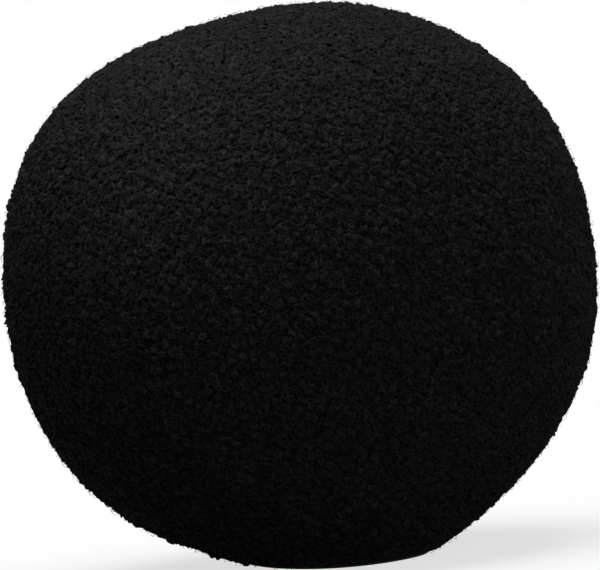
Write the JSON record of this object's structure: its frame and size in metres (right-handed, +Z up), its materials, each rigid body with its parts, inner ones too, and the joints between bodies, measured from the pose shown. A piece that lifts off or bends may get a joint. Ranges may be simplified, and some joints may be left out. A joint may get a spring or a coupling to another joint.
{
  "type": "ball windscreen with a furry cover",
  "caption": "Ball-shaped microphone windscreen: twist-apart lattice ball with a rubber mic grip in its neck, under a sewn black cover of short curly pile.",
  "frame": {"origin": "on the standing plane under the windscreen's middle, where the ball's axis meets the face that the hem of the mouth stands on", "axes": "+Z up along the axis of the ball, neck and mouth, from the mouth towards the crown; X and Y level, with the seam between the first and last panel on +X"},
  "size_m": [0.112, 0.112, 0.1053],
  "materials": {
    "loop_pile": "short curly loop pile, matte black",
    "hem_tape": "woven black tape",
    "elastic": "covered elastic",
    "cage_plastic": "moulded black nylon, fine grain",
    "acoustic_mesh": "fine open mesh",
    "ring_plastic": "moulded black, satin",
    "seal_rubber": "soft black rubber",
    "screw_steel": "plain steel",
    "washer_plastic": "natural acetal"
  },
  "bodies": {
    "lower_half": {"lower_cage": "cage_plastic", "lower_mesh": "acoustic_mesh", "lower_joint_ring": "ring_plastic", "joint_seal": "seal_rubber", "neck_collar": "ring_plastic", "backing_ring": "ring_plastic", "collar_screws": "screw_steel", "mic_boot": "seal_rubber", "cover_gore_1": "loop_pile", "cover_gore_2": "loop_pile", "cover_gore_3": "loop_pile", "cover_gore_4": "loop_pile", "cover_gore_5": "loop_pile", "cover_gore_6": "loop_pile", "mouth_binding": "hem_tape", "hem_elastic": "elastic"},
    "upper_half": {"upper_cage": "cage_plastic", "upper_mesh": "acoustic_mesh", "upper_joint_ring": "ring_plastic"},
    "washer": {"thrust_washer": "washer_plastic"},
    "nut": {"clamp_nut": "ring_plastic"}
  },
  "joints": [
    {"name": "twist_lock", "type": "hinge", "parent": "lower_half", "child": "upper_half", "pos_m": [0, 0, 0.0514], "axis": [0, 0, 1], "range_deg": [0, 18]},
    {"name": "washer_travel", "type": "slide", "parent": "lower_half", "child": "washer", "axis": [0, 0, 1], "range_m": [-0.0008, 0]},
    {"name": "nut_turn", "type": "hinge", "parent": "washer", "child": "nut", "pos_m": [0, 0, 0.0036], "axis": [0, 0, 1], "range_deg": [-90, 0]}
  ],
  "couplings": [
    {"joint": "washer_travel", "follows": "nut_turn", "m_per_rad": 0.00047746}
  ]
}
